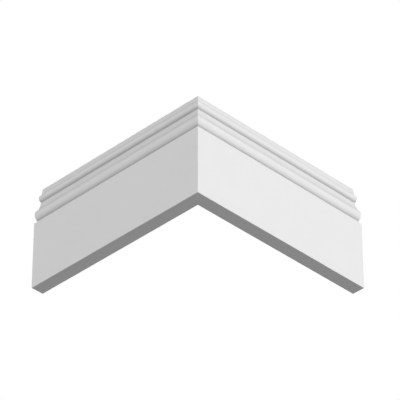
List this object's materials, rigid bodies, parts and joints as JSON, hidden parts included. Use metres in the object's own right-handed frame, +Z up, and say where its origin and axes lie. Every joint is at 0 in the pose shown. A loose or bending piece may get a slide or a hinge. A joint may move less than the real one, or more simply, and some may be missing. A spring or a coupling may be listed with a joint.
{
  "type": "skirting board",
  "caption": "White moulded skirting board turning an outside wall corner: mitred lengths with a flat face below a torus, a cove and a bead.",
  "frame": {"origin": "where the wall's corner meets the floor: the bottom of the line in which the two backs meet", "axes": "+Z up from the floor; the left length runs along -X with its back facing +Y, and the right length runs along +Y with its back facing -X"},
  "size_m": [0.28, 0.28, 0.15],
  "materials": {
    "board": "smooth white paint, low sheen"
  },
  "bodies": {
    "root": {"left_board": "board", "right_board": "board"}
  },
  "joints": []
}
